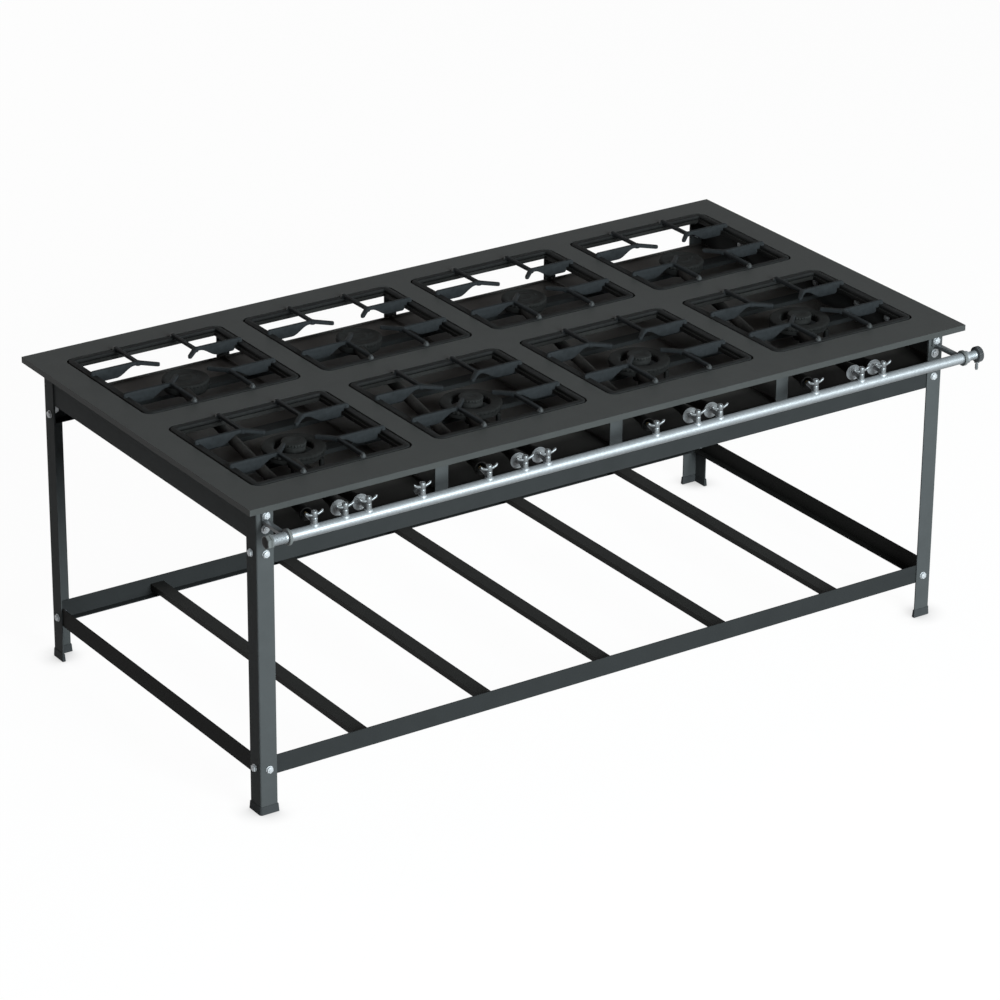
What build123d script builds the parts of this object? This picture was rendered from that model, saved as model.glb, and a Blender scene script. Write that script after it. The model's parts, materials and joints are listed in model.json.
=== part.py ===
from build123d import *
import math
import os

# Industrial gas stove: two rows of burners under cast grates, on a bolted angle frame with a low shelf.
# Sizes are in millimetres. X runs along the front, Y to the back, Z up.
# Pieces are drawn about the centre of the top plate and moved to the stove's own origin when written.

# Top plate and its openings
PLATE_TOP = 800
PLATE_T = 2
LIP = 15
COLUMNS = 4
OPEN_W = 434
OPEN_D = 409
OPEN_R = 25
COLUMN_WEB = 60
ROW_WEB = 85
SIDE_MARGIN = 74.5
FRONT_MARGIN = 103.5
BACK_MARGIN = 73.5

# Legs, shoes and bolts
LEG_INSET = 38
LEG_ARM = 45
LEG_T = 3
LEG_BEND = 4
SHOE_WALL = 3
SHOE_FLOOR = 3
SHOE_H = 27
BOLT_SQUARE = 8
BOLT_HEAD_AF = 16
BOLT_HEAD_H = 6
NUT_H = 7
BOLT_EDGE_X = 24.5
BOLT_EDGE_Y = 26

# Side panels, upper rails, posts and drip trays
PANEL_T = 2
PANEL_TAB_GAP = 10
PANEL_TOP_FLANGE = 20
PANEL_FOOT_FLANGE = 15
RAIL_DROP = 106
RAIL_H = 59
RAIL_T = 2
RAIL_FLANGE = 25
RAIL_TAB_MARGIN = 6
POST_W = 36
POST_T = 3
TRAY_T = 1.5
TRAY_RIM = 6
TRAY_SPLIT = 1
PANEL_BOLT_RISE = 31.5
RAIL_BOLT_DROP = 31

# Shelf
SHELF_Z = 97
SHELF_H = 48
SHELF_T = 2.5
SHELF_FLANGE = 20
SHELF_BOLT_RISE = 17
CROSSBARS = 5
CROSSBAR_PITCH = 350
CROSSBAR_W = 37
CROSSBAR_H = 14.5
CROSSBAR_T = 2
CROSSBAR_TOP = 127.5

# Grates and their seats
GRATE_GAP = 5
GRATE_BAR_W = 16
GRATE_BAR_H = 9
GRATE_PROUD = 2
FIN_T = 8
FIN_PROUD = 9
FIN_OFFSET = 80
FIN_DEEP = 31
FIN_DEEP_END = 125
FIN_THIN_START = 98
FIN_THIN = 10
FIN_NOSE = 8
FIN_INSET = 1.5
FINGER_W = 11
FINGER_END = 41
SEAT_T = 2
SEAT_REACH = 5
SEAT_LIP = 9

# Burners, their mixing tubes and the bars that carry them
BURNER_DROP = 23
FRONT_BURNER_SHIFT = 10
REAR_BURNER_SHIFT = 5
RING_R = 76
RING_HOLE_R = 47
RING_FLATS = 28
RING_HOLE_FLATS = 20
RING_H = 22
CENTRE_R = 30
CENTRE_FLATS = 20
CENTRE_H = 20
CENTRE_STEM_R = 14
REAR_R = 58
REAR_FLATS = 28
REAR_H = 32
TUBE_R = 13
TUBE_BORE_R = 10
TUBE_FLATS = 10
TUBE_BORE_FLATS = 8
RING_TUBE_DROP = 14
CENTRE_TUBE_DROP = 45
REAR_TUBE_DROP = 17
RING_ENTRY = (-34, -48)
REAR_ENTRY = (-20, -10)
FOOT_W = 12
PAD_W = 20
LUG_T = 8
RING_FOOT = (38, 62)
BAR_W = 38
BAR_T = 4
BAR_FLANGE = 11
BAR_DROP = 78
BAR_TAB_H = 39
BAR_STUD_DROP = 53
FRONT_BAR_OFFSET = 61
BACK_BAR_NEAR = 102
BACK_BAR_FAR = 61
MID_BAR_Y = 0

# Gas pipe and what is on it
PIPE_OUT = 102
PIPE_DROP = 54
PIPE_R = 13.5
PIPE_BORE_R = 10.5
CLAMP_INSET = 21
COLLAR_R = 19.5
COLLAR_W = 8
COLLAR_FLATS = 20
STRAP_W = 14
STRAP_T = 4
STRAP_BITE = 3
TAB_W = 24
TAB_H = 32
LOCK_RING_AF = 30
LOCK_RING_START = 22
CAP_START = 28
CAP_AF = 29
CAP_REACH = 39
NIPPLE_R = 11.5
NIPPLE_FLATS = 12
NIPPLE_START = 20
NIPPLE_STEP_R = 15.5
NIPPLE_STEP_START = 16
NIPPLE_STEP_W = 10
INLET_START = 18.5
INLET_REACH = 33.5
INLET_R = 20
INLET_FLATS = 20
HOSE_R = 4.5
HOSE_BORE_R = 2.5
HOSE_BORE_FLATS = 8
HOSE_LENGTH = 19
SHOULDER_R = 7
SHOULDER_FLATS = 12
SHOULDER_H = 2

# Valves: places along the pipe as offsets from the centre of each column
REAR_VALVES = (-162, -186, -206.5, -227.5)
RING_VALVES = (-81, -86, -86, -87)
CENTRE_VALVES = (-19, -23, -20.5, -20)
SPARE_VALVE = 126
OUTLET_RISE = 4
VALVE_AF = 15
VALVE_TOP_RISE = 18.5
HORN_AF = 10
HORN_START = 6.5
HORN_LENGTH = 47
SPARE_HORN_LENGTH = 20
JET_AF = 8
JET_LENGTH = 8
PLUG_AF = 14
STEM_R = 3
STEM_LENGTH = 10
STEM_BORE_FLATS = 8
HUB_AF = 14.5
HUB_H = 16
WING_SPAN = 47
WING_T = 7
WING_RISE = 8
WING_DEPTH = 5
SHUTTER_R = 20
SHUTTER_T = 2
SHUTTER_FLATS = 20
SHUTTER_PLACE = 40
MOUTH_PLACE = 49

# Clearances
REST_GAP = 0.3
RUNNING_GAP = 0.05
FIXING_GAP = 0.15

# Sizes that follow from the ones above
PITCH_X = OPEN_W + COLUMN_WEB
PITCH_Y = OPEN_D + ROW_WEB
PLATE_W = 2 * SIDE_MARGIN + COLUMNS * OPEN_W + (COLUMNS - 1) * COLUMN_WEB
PLATE_D = FRONT_MARGIN + 2 * OPEN_D + ROW_WEB + BACK_MARGIN
FRONT_ROW = -PLATE_D / 2 + FRONT_MARGIN + OPEN_D / 2
BACK_ROW = FRONT_ROW + PITCH_Y
COLUMN_X = [(i - (COLUMNS - 1) / 2) * PITCH_X for i in range(COLUMNS)]
UNDER = PLATE_TOP - PLATE_T
LEG_X = PLATE_W / 2 - LEG_INSET
LEG_Y = PLATE_D / 2 - LEG_INSET
INNER_X = LEG_X - LEG_T
INNER_Y = LEG_Y - LEG_T
PANEL_X = INNER_X - PANEL_T
RAIL_TOP = PLATE_TOP - RAIL_DROP
POST_Y = INNER_Y - POST_T
PANEL_TAB_Z = RAIL_TOP + PANEL_TAB_GAP
PANEL_BOLT_Z = RAIL_TOP + PANEL_BOLT_RISE
RAIL_BOLT_Z = RAIL_TOP - RAIL_BOLT_DROP
SHELF_BOLT_Z = SHELF_Z + SHELF_BOLT_RISE
GRATE_W = OPEN_W - 2 * GRATE_GAP
GRATE_D = OPEN_D - 2 * GRATE_GAP
GRATE_Z = PLATE_TOP + GRATE_PROUD - GRATE_BAR_H
FIN_TOP = PLATE_TOP + GRATE_PROUD + FIN_PROUD
SEAT_Z = GRATE_Z - REST_GAP
SEAT_W = GRATE_W - 2 * (GRATE_BAR_W + SEAT_REACH)
SEAT_D = GRATE_D - 2 * (GRATE_BAR_W + SEAT_REACH)
BURNER_TOP = PLATE_TOP - BURNER_DROP
BAR_TOP = PLATE_TOP - BAR_DROP
BAR_STUD_Z = PLATE_TOP - BAR_STUD_DROP
BAR_Y = (
    FRONT_ROW - FRONT_BAR_OFFSET,
    FRONT_ROW + FRONT_BAR_OFFSET,
    MID_BAR_Y,
    BACK_ROW - BACK_BAR_NEAR,
    BACK_ROW + BACK_BAR_FAR,
)
PIPE_Y = -LEG_Y - PIPE_OUT
PIPE_Z = PLATE_TOP - PIPE_DROP
CLAMP_X = LEG_X - CLAMP_INSET
PIPE_CREST = PIPE_Z + PIPE_R
OUTLET_Z = PIPE_CREST + OUTLET_RISE
VALVE_TOP = PIPE_CREST + VALVE_TOP_RISE
BRACKET_BOLT_Z = PIPE_Z - STRAP_T / 2 + TAB_H / 2
LEFT_END = LEG_X + CAP_REACH
RIGHT_END = max(PLATE_W / 2, LEG_X + INLET_REACH)
FRONT_END = -PIPE_Y + max(COLLAR_R, INLET_R)
ORIGIN = Pos((LEFT_END - RIGHT_END) / 2, (FRONT_END - PLATE_D / 2) / 2, 0)


def block(x0, x1, y0, y1, z0, z1):
    """A box between two corners."""
    return Pos((x0 + x1) / 2, (y0 + y1) / 2, (z0 + z1) / 2) * Box(abs(x1 - x0), abs(y1 - y0), abs(z1 - z0))


def ring(w, d, inner_w, inner_d, z0, z1):
    """A rectangular ring with square corners."""
    return Pos(0, 0, z0) * extrude(Rectangle(w, d) - Rectangle(inner_w, inner_d), amount=z1 - z0)


def along_x(points, x0, x1):
    """A profile of (y, z) points, extruded along X."""
    return Pos(x0, 0, 0) * extrude(Plane.YZ * Polygon(*points, align=None), amount=x1 - x0)


def along_y(points, y0, y1):
    """A profile of (x, z) points, extruded along Y."""
    return Pos(0, y1, 0) * extrude(Plane.XZ * Polygon(*points, align=None), amount=y1 - y0)


def rod(start, end, radius):
    """A cylinder from one point to another."""
    start = Vector(*start)
    axis = Vector(*end) - start
    return Part() + Solid.make_cylinder(radius, axis.length, Plane(origin=start, z_dir=axis))


def prism(start, end, radius, flats):
    """A bar of many flats from one point to another."""
    start = Vector(*start)
    axis = Vector(*end) - start
    return extrude(Plane(origin=start, z_dir=axis) * RegularPolygon(radius, flats), amount=axis.length)


def hexagon(across_flats, height):
    """A hexagonal prism standing on the XY plane."""
    return extrude(RegularPolygon(across_flats / 2, 6, major_radius=False), amount=height)


def corners(shape):
    """A piece of the front left corner, and its mirror images at the other three."""
    left = [shape, mirror(shape, about=Plane.XZ)]
    return left + [mirror(s, about=Plane.YZ) for s in left]


def channel(outer, inner, z0, z1, wall, flange):
    """A C profile in (y or x, z): a web at outer, facing inner, with a flange at each end."""
    way = math.copysign(1, inner - outer)
    web = outer + way * wall
    tip = outer + way * flange
    return [(outer, z0), (tip, z0), (tip, z0 + wall), (web, z0 + wall),
            (web, z1 - wall), (tip, z1 - wall), (tip, z1), (outer, z1)]


# Bolts of the front left corner: on the front of the leg, then on its side
FRONT_BOLT_X = -LEG_X + BOLT_EDGE_X
SIDE_BOLT_Y = -LEG_Y + BOLT_EDGE_Y
FRONT_BOLTS = [PANEL_BOLT_Z, RAIL_BOLT_Z, SHELF_BOLT_Z, BRACKET_BOLT_Z]
SIDE_BOLTS = [RAIL_BOLT_Z, SHELF_BOLT_Z]


def bolt_holes(sheet_t, front_heights, side_heights):
    """Square holes through the leg and a sheet of the given thickness behind it, at one corner."""
    side = BOLT_SQUARE + 2 * FIXING_GAP
    depth = 2 * (LEG_T + sheet_t)
    holes = [Pos(FRONT_BOLT_X, -LEG_Y, z) * Box(side, depth, side) for z in front_heights]
    return holes + [Pos(-LEG_X, SIDE_BOLT_Y, z) * Box(depth, side, side) for z in side_heights]


def both_ends(shapes):
    """Shapes at the left end, repeated at the right."""
    return shapes + [mirror(s, about=Plane.YZ) for s in shapes]


def top_plate():
    sheet = Pos(0, 0, UNDER) * extrude(Rectangle(PLATE_W, PLATE_D), amount=PLATE_T)
    lip = ring(PLATE_W, PLATE_D, PLATE_W - 2 * PLATE_T, PLATE_D - 2 * PLATE_T, PLATE_TOP - LIP, UNDER)
    hole = extrude(RectangleRounded(OPEN_W, OPEN_D, OPEN_R), amount=2 * PLATE_T)
    holes = [Pos(x, y, UNDER - PLATE_T / 2) * hole for x in COLUMN_X for y in (FRONT_ROW, BACK_ROW)]
    return sheet + lip - holes


def grate_seat():
    """A stepped ledge round one opening, which the grate's frame stands on."""
    outer_w = OPEN_W + 2 * SEAT_T
    outer_d = OPEN_D + 2 * SEAT_T
    bottom = SEAT_Z - SEAT_T
    web = ring(outer_w, outer_d, OPEN_W, OPEN_D, bottom, UNDER)
    ledge = ring(outer_w, outer_d, SEAT_W, SEAT_D, bottom, SEAT_Z)
    lip = ring(SEAT_W + 2 * SEAT_T, SEAT_D + 2 * SEAT_T, SEAT_W, SEAT_D, SEAT_Z - SEAT_LIP, bottom)
    return web + ledge + lip


def grate_fin(half, seat_half):
    """One deep fin along X, from the frame inwards to where two fins meet."""
    outer = half - FIN_INSET
    notch = seat_half - SEAT_T
    deep = FIN_TOP - FIN_DEEP
    thin = FIN_TOP - FIN_THIN
    start = FIN_OFFSET - FIN_T / 2
    profile = [(start, thin), (start, FIN_TOP), (outer - FIN_NOSE, FIN_TOP), (outer, FIN_TOP - FIN_NOSE),
               (outer, GRATE_Z), (notch, GRATE_Z), (notch, deep), (FIN_DEEP_END, deep), (FIN_THIN_START, thin)]
    return along_y(profile, -FIN_T / 2, FIN_T / 2)


def grate():
    """A cast grate about the centre of its opening: frame, eight deep fins and four fingers."""
    outline = Rectangle(GRATE_W, GRATE_D)
    outline = chamfer(outline.vertices(), max(OPEN_R - GRATE_GAP, 1) / 2)
    hole = Rectangle(GRATE_W - 2 * GRATE_BAR_W, GRATE_D - 2 * GRATE_BAR_W)
    body = Pos(0, 0, GRATE_Z) * extrude(outline - hole, amount=GRATE_BAR_H)
    right = grate_fin(GRATE_W / 2, SEAT_W / 2)
    back = Rot(0, 0, 90) * grate_fin(GRATE_D / 2, SEAT_D / 2)
    reach = math.sqrt(2) * (FIN_OFFSET - FINGER_END)
    finger = block(-reach, 0, -FINGER_W / 2, FINGER_W / 2, FIN_TOP - FIN_THIN, FIN_TOP)
    fingers = Pos(FIN_OFFSET, FIN_OFFSET, 0) * Rot(0, 0, 45) * finger
    quarter = [Pos(0, FIN_OFFSET, 0) * right, Pos(FIN_OFFSET, 0, 0) * back, fingers]
    for piece in quarter:
        left = mirror(piece, about=Plane.YZ)
        body = body + piece + left + mirror(piece, about=Plane.XZ) + mirror(left, about=Plane.XZ)
    return body


def leg_outline(grow):
    """The front left leg's angle profile, made larger all round by grow."""
    arm = LEG_ARM + 2 * grow
    thick = LEG_T + 2 * grow
    return Pos(-LEG_X - grow, -LEG_Y - grow, 0) * Polygon(
        (0, 0), (arm, 0), (arm, thick), (thick, thick), (thick, arm), (0, arm), align=None)


def leg():
    bar = Pos(0, 0, SHOE_FLOOR) * extrude(leg_outline(0), amount=UNDER - SHOE_FLOOR)
    outer_edge = bar.edges().filter_by(Axis.Z).sort_by(lambda e: e.center().X + e.center().Y)[0]
    return fillet(outer_edge, LEG_BEND) - bolt_holes(PANEL_T, FRONT_BOLTS, SIDE_BOLTS)


def foot_shoe():
    """A cup of angle shape under one leg."""
    cup = extrude(leg_outline(SHOE_WALL), amount=SHOE_H)
    return cup - Pos(0, 0, SHOE_FLOOR) * extrude(leg_outline(FIXING_GAP), amount=SHOE_H)


def side_panel():
    """The left panel: a folded sheet with a tab behind the front of each leg."""
    profile = [(-INNER_X, RAIL_TOP - PANEL_T), (-PANEL_X + PANEL_FOOT_FLANGE, RAIL_TOP - PANEL_T),
               (-PANEL_X + PANEL_FOOT_FLANGE, RAIL_TOP), (-PANEL_X, RAIL_TOP),
               (-PANEL_X, UNDER - PANEL_T), (-PANEL_X + PANEL_TOP_FLANGE, UNDER - PANEL_T),
               (-PANEL_X + PANEL_TOP_FLANGE, UNDER), (-INNER_X, UNDER)]
    sheet = along_y(profile, -INNER_Y, INNER_Y)
    tab = block(-INNER_X, -LEG_X + LEG_ARM, -INNER_Y, -INNER_Y + PANEL_T, PANEL_TAB_Z, UNDER)
    holes = bolt_holes(PANEL_T, [PANEL_BOLT_Z, BRACKET_BOLT_Z], [])
    return sheet + tab + mirror(tab, about=Plane.XZ) - holes - [mirror(h, about=Plane.XZ) for h in holes]


def upper_rail():
    """The front rail: a channel between the legs, with tabs folded back along their sides."""
    bottom = RAIL_TOP - RAIL_H
    bar = along_x(channel(-INNER_Y, 0, bottom, RAIL_TOP, RAIL_T, RAIL_FLANGE), -INNER_X, INNER_X)
    tab = block(-INNER_X, -INNER_X + RAIL_T, -INNER_Y, -LEG_Y + LEG_ARM,
                bottom + RAIL_TAB_MARGIN, RAIL_TOP - RAIL_TAB_MARGIN)
    notch_x = PANEL_X - PANEL_FOOT_FLANGE - FIXING_GAP
    notch = block(-LEG_X, -notch_x, -LEG_Y, 0, RAIL_TOP - PANEL_T - FIXING_GAP, RAIL_TOP + FIXING_GAP)
    ends = both_ends([notch] + bolt_holes(RAIL_T, [RAIL_BOLT_Z], [RAIL_BOLT_Z]))
    return bar + tab + mirror(tab, about=Plane.YZ) - ends


def posts():
    """Short flat posts between the upper rails and the plate, under the webs between columns."""
    places = [(a + b) / 2 for a, b in zip(COLUMN_X, COLUMN_X[1:])]
    front = [block(x - POST_W / 2, x + POST_W / 2, -INNER_Y, -POST_Y, RAIL_TOP, UNDER) for x in places]
    return front + [mirror(p, about=Plane.XZ) for p in front]


def drip_tray(x):
    """A shallow tray under one column, lying on both upper rails."""
    w = PITCH_X - TRAY_SPLIT
    d = 2 * (POST_Y - FIXING_GAP)
    floor = extrude(Rectangle(w, d), amount=TRAY_T)
    rim = ring(w, d, w - 2 * TRAY_T, d - 2 * TRAY_T, TRAY_T, TRAY_RIM)
    return Pos(x, 0, RAIL_TOP) * (floor + rim)


def shelf_side_rail():
    """The left shelf rail, the whole way between the legs. Its flange stops short of the front rail's web."""
    web = block(-INNER_X, -INNER_X + SHELF_T, -INNER_Y, INNER_Y, SHELF_Z, SHELF_Z + SHELF_H)
    flange_end = INNER_Y - SHELF_T - REST_GAP
    flange = block(-INNER_X, -INNER_X + SHELF_FLANGE, -flange_end, flange_end, SHELF_Z, SHELF_Z + SHELF_T)
    holes = bolt_holes(SHELF_T, [], [SHELF_BOLT_Z])
    return web + flange - holes - [mirror(h, about=Plane.XZ) for h in holes]


def shelf_front_rail():
    """The front shelf rail, between the side rails. Its flange stops short of theirs."""
    end = INNER_X - SHELF_T
    web = block(-end, end, -INNER_Y, -INNER_Y + SHELF_T, SHELF_Z, SHELF_Z + SHELF_H)
    flange_end = INNER_X - SHELF_FLANGE - REST_GAP
    flange = block(-flange_end, flange_end, -INNER_Y, -INNER_Y + SHELF_FLANGE, SHELF_Z, SHELF_Z + SHELF_T)
    return web + flange - both_ends(bolt_holes(SHELF_T, [SHELF_BOLT_Z], []))


def shelf_crossbar(x):
    """An upturned channel welded between the front and back shelf rails."""
    half = CROSSBAR_W / 2
    wall = half - CROSSBAR_T
    low = CROSSBAR_TOP - CROSSBAR_H
    skin = CROSSBAR_TOP - CROSSBAR_T
    profile = [(x - half, low), (x - wall, low), (x - wall, skin), (x + wall, skin),
               (x + wall, low), (x + half, low), (x + half, CROSSBAR_TOP), (x - half, CROSSBAR_TOP)]
    end = INNER_Y - SHELF_T
    return along_y(profile, -end, end)


def frame_bolt(length):
    """A bolt along +Y from the inside of a sheet: hexagonal head, then a square neck through the sheets."""
    head = Rot(90, 0, 0) * hexagon(BOLT_HEAD_AF, BOLT_HEAD_H)
    return mirror(head, about=Plane.XZ) + block(-BOLT_SQUARE / 2, BOLT_SQUARE / 2, -length, 0,
                                                -BOLT_SQUARE / 2, BOLT_SQUARE / 2)


def corner_fixings():
    """Bolts and nuts of the front left corner, without the one that holds the pipe bracket."""
    nut = Rot(90, 0, 0) * hexagon(BOLT_HEAD_AF, NUT_H)
    sheets = {PANEL_BOLT_Z: PANEL_T, RAIL_BOLT_Z: RAIL_T, SHELF_BOLT_Z: SHELF_T}
    fixings = []
    for z, sheet in sheets.items():
        fixings.append(Pos(FRONT_BOLT_X, -INNER_Y + sheet, z) * frame_bolt(LEG_T + sheet))
        fixings.append(Pos(FRONT_BOLT_X, -LEG_Y, z) * nut)
    for z in SIDE_BOLTS:
        turned = Pos(-INNER_X + sheets[z], SIDE_BOLT_Y, z) * Rot(0, 0, -90)
        fixings.append(turned * frame_bolt(LEG_T + sheets[z]))
        fixings.append(Pos(-LEG_X, SIDE_BOLT_Y, z) * Rot(0, 0, -90) * nut)
    return fixings


def bracket_fixing():
    """The bolt and nut of the left pipe bracket, through the panel, the leg and the bracket's tab."""
    bolt = Pos(FRONT_BOLT_X, -INNER_Y + PANEL_T, BRACKET_BOLT_Z) * frame_bolt(PANEL_T + LEG_T + STRAP_T)
    nut = Rot(90, 0, 0) * hexagon(BOLT_HEAD_AF, NUT_H)
    return [bolt, Pos(FRONT_BOLT_X, -LEG_Y - STRAP_T, BRACKET_BOLT_Z) * nut]


def burner_bar(y):
    """An angle bar across the stove: its front edge turned down, its ends turned up at the side panels."""
    low = BAR_TOP - BAR_T
    high = low + BAR_TAB_H
    profile = [(-PANEL_X, low), (PANEL_X, low), (PANEL_X, high), (PANEL_X - BAR_T, high),
               (PANEL_X - BAR_T, BAR_TOP), (-PANEL_X + BAR_T, BAR_TOP), (-PANEL_X + BAR_T, high),
               (-PANEL_X, high)]
    side = BOLT_SQUARE + 2 * FIXING_GAP
    hole = Pos(-PANEL_X, y, BAR_STUD_Z) * Box(3 * BAR_T, side, side)
    front = y - BAR_W / 2
    flange = block(-PANEL_X + BAR_T, PANEL_X - BAR_T, front, front + BAR_T, BAR_TOP - BAR_FLANGE, BAR_TOP)
    return along_y(profile, front, front + BAR_W) + flange - [hole, mirror(hole, about=Plane.YZ)]


def bar_stud(y):
    """A stud on the left panel, through a bar's turned end, with its nut done up."""
    neck = block(-PANEL_X, -PANEL_X + BAR_T, y - BOLT_SQUARE / 2, y + BOLT_SQUARE / 2,
                 BAR_STUD_Z - BOLT_SQUARE / 2, BAR_STUD_Z + BOLT_SQUARE / 2)
    nut = Pos(-PANEL_X + BAR_T, y, BAR_STUD_Z) * Rot(0, 90, 0) * hexagon(BOLT_HEAD_AF, NUT_H)
    return neck + nut


def valve_places():
    """Each valve's x from left to right, with the point its mixing tube aims at, or None for the spare."""
    found = []
    for i, x in enumerate(COLUMN_X):
        front = x + FRONT_BURNER_SHIFT
        rear = x + REAR_BURNER_SHIFT
        found.append((x + REAR_VALVES[i], (rear + REAR_ENTRY[0], BACK_ROW + REAR_ENTRY[1]), "rear", i))
        found.append((x + RING_VALVES[i], (front + RING_ENTRY[0], FRONT_ROW + RING_ENTRY[1]), "ring", i))
        found.append((x + CENTRE_VALVES[i], (front, FRONT_ROW), "centre", i))
    found.append((COLUMN_X[0] + SPARE_VALVE, None, "spare", 0))
    return sorted(found, key=lambda f: f[0])


def heading(x, target):
    """The level direction in which a valve's outlet points."""
    if target is None:
        return Vector(0, 1, 0)
    return Vector(target[0] - x, target[1] - PIPE_Y, 0).normalized()


def outlet_frame(x, target, distance):
    """A place at a distance out along a valve's outlet, with +Z pointing away from the valve and level +X."""
    way = heading(x, target)
    side = way.cross(Vector(0, 0, 1))
    return Location(Plane(origin=Vector(x, PIPE_Y, OUTLET_Z) + way * distance, x_dir=side, z_dir=way))


def valve_body(x, target):
    """A hexagonal body standing on the pipe, with a hexagonal outlet and a bore for the stem."""
    barrel = Pos(x, PIPE_Y, PIPE_CREST) * hexagon(VALVE_AF, VALVE_TOP_RISE)
    length = HORN_LENGTH if target else SPARE_HORN_LENGTH
    horn = outlet_frame(x, target, HORN_START) * hexagon(HORN_AF, length - HORN_START)
    bore = RegularPolygon(STEM_R + RUNNING_GAP, STEM_BORE_FLATS, major_radius=False)
    return barrel + horn - Pos(x, PIPE_Y, VALVE_TOP - STEM_LENGTH) * extrude(bore, amount=STEM_LENGTH)


def valve_handle(x):
    """A butterfly handle with the stem that turns in the valve's bore."""
    bottom = VALVE_TOP + REST_GAP
    hub = Pos(x, PIPE_Y, bottom) * hexagon(HUB_AF, HUB_H)
    stem = Pos(x, PIPE_Y, bottom - STEM_LENGTH) * extrude(RegularPolygon(STEM_R, 6), amount=STEM_LENGTH)
    tip = WING_SPAN / 2
    bend = tip * 2 / 3
    wing = [(x, bottom), (x + HUB_AF / 2, bottom), (x + bend, bottom + WING_RISE / 3),
            (x + tip, bottom + WING_RISE), (x + tip, bottom + WING_RISE + WING_T),
            (x + bend, bottom + WING_RISE / 3 + WING_T), (x + HUB_AF / 2, bottom + WING_T),
            (x, bottom + WING_T)]
    right = along_y(wing, PIPE_Y - WING_DEPTH / 2, PIPE_Y + WING_DEPTH / 2)
    left = mirror(right, about=Plane.YZ.offset(x))
    return hub + stem + right + left


def jet(x, target):
    return outlet_frame(x, target, HORN_LENGTH) * hexagon(JET_AF, JET_LENGTH)


def air_shutter(x, target):
    """A disc that slides along the valve's outlet, in front of the mixing tube's mouth."""
    hole = RegularPolygon(HORN_AF / 2 + RUNNING_GAP, 6, major_radius=False)
    disc = RegularPolygon(SHUTTER_R, SHUTTER_FLATS) - hole
    return outlet_frame(x, target, SHUTTER_PLACE) * extrude(disc, amount=SHUTTER_T)


def mixing_tube(x, target, drop):
    """A straight tube from its mouth, just past the valve's outlet, to the burner's entry, and its bore."""
    mouth = Vector(x, PIPE_Y, OUTLET_Z) + heading(x, target) * MOUTH_PLACE
    entry = Vector(target[0], target[1], BURNER_TOP - drop)
    before = mouth - (entry - mouth).normalized() * TUBE_R
    return prism(mouth, entry, TUBE_R, TUBE_FLATS), prism(before, entry, TUBE_BORE_R, TUBE_BORE_FLATS)


def tube_pad(x, target, drop, bar_y):
    """A pad under a mixing tube where it crosses a bar."""
    way = heading(x, target)
    mouth = Vector(x, PIPE_Y, OUTLET_Z) + way * MOUTH_PLACE
    share = (bar_y - mouth.Y) / (target[1] - mouth.Y)
    pad_x = mouth.X + share * (target[0] - mouth.X)
    axis_z = OUTLET_Z + share * (BURNER_TOP - drop - OUTLET_Z)
    top = axis_z - (TUBE_R + TUBE_BORE_R) / 2
    return block(pad_x - PAD_W / 2, pad_x + PAD_W / 2, bar_y - PAD_W / 2, bar_y + PAD_W / 2, BAR_TOP, top)


def ring_burner(x, target, column_x):
    """The outer ring of a front burner, on four feet, with its tube at the side."""
    bottom = BURNER_TOP - RING_H
    outline = RegularPolygon(RING_R, RING_FLATS) - RegularPolygon(RING_HOLE_R, RING_HOLE_FLATS)
    head = Pos(column_x, FRONT_ROW, bottom) * extrude(outline, amount=RING_H)
    feet = [Pos(column_x + i * RING_FOOT[0], FRONT_ROW + j * RING_FOOT[1], (BAR_TOP + bottom + LUG_T) / 2)
            * Box(FOOT_W, FOOT_W, bottom + LUG_T - BAR_TOP) for i in (-1, 1) for j in (-1, 1)]
    tube, bore = mixing_tube(x, target, RING_TUBE_DROP)
    return head + feet + tube - bore


def centre_burner(x, target):
    """The small burner inside the ring: a disc on a stem, fed by a tube that passes under the ring."""
    column_x = target[0]
    axis_z = BURNER_TOP - CENTRE_TUBE_DROP
    low = BURNER_TOP - CENTRE_H
    head = prism((column_x, FRONT_ROW, low), (column_x, FRONT_ROW, BURNER_TOP), CENTRE_R, CENTRE_FLATS)
    stem = prism((column_x, FRONT_ROW, axis_z - TUBE_R), (column_x, FRONT_ROW, low), CENTRE_STEM_R, TUBE_FLATS)
    arm = block(column_x - FOOT_W / 2, column_x + FOOT_W / 2, FRONT_ROW, FRONT_ROW + FRONT_BAR_OFFSET + FOOT_W,
                BAR_TOP, BAR_TOP + LUG_T)
    pad = tube_pad(x, target, CENTRE_TUBE_DROP, FRONT_ROW - FRONT_BAR_OFFSET)
    tube, bore = mixing_tube(x, target, CENTRE_TUBE_DROP)
    return head + stem + arm + pad + tube - bore


def rear_burner(x, target, column_x):
    """A round burner of the back row, with a pad under its tube and a lug behind."""
    bottom = BURNER_TOP - REAR_H
    head = prism((column_x, BACK_ROW, bottom), (column_x, BACK_ROW, BURNER_TOP), REAR_R, REAR_FLATS)
    lug_end = BACK_ROW + BACK_BAR_FAR + FOOT_W
    lug = block(column_x - FOOT_W, column_x + FOOT_W, BACK_ROW, lug_end, bottom, bottom + LUG_T)
    foot = block(column_x - FOOT_W, column_x + FOOT_W, lug_end - 2 * FOOT_W, lug_end, BAR_TOP, bottom + LUG_T)
    pad = tube_pad(x, target, REAR_TUBE_DROP, BACK_ROW - BACK_BAR_NEAR)
    tube, bore = mixing_tube(x, target, REAR_TUBE_DROP)
    return head + lug + foot + pad + tube - bore


def manifold_pipe():
    left = (-LEG_X - LOCK_RING_START, PIPE_Y, PIPE_Z)
    right = (LEG_X - NIPPLE_START, PIPE_Y, PIPE_Z)
    return rod(left, right, PIPE_R) - rod(left, right, PIPE_BORE_R)


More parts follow.
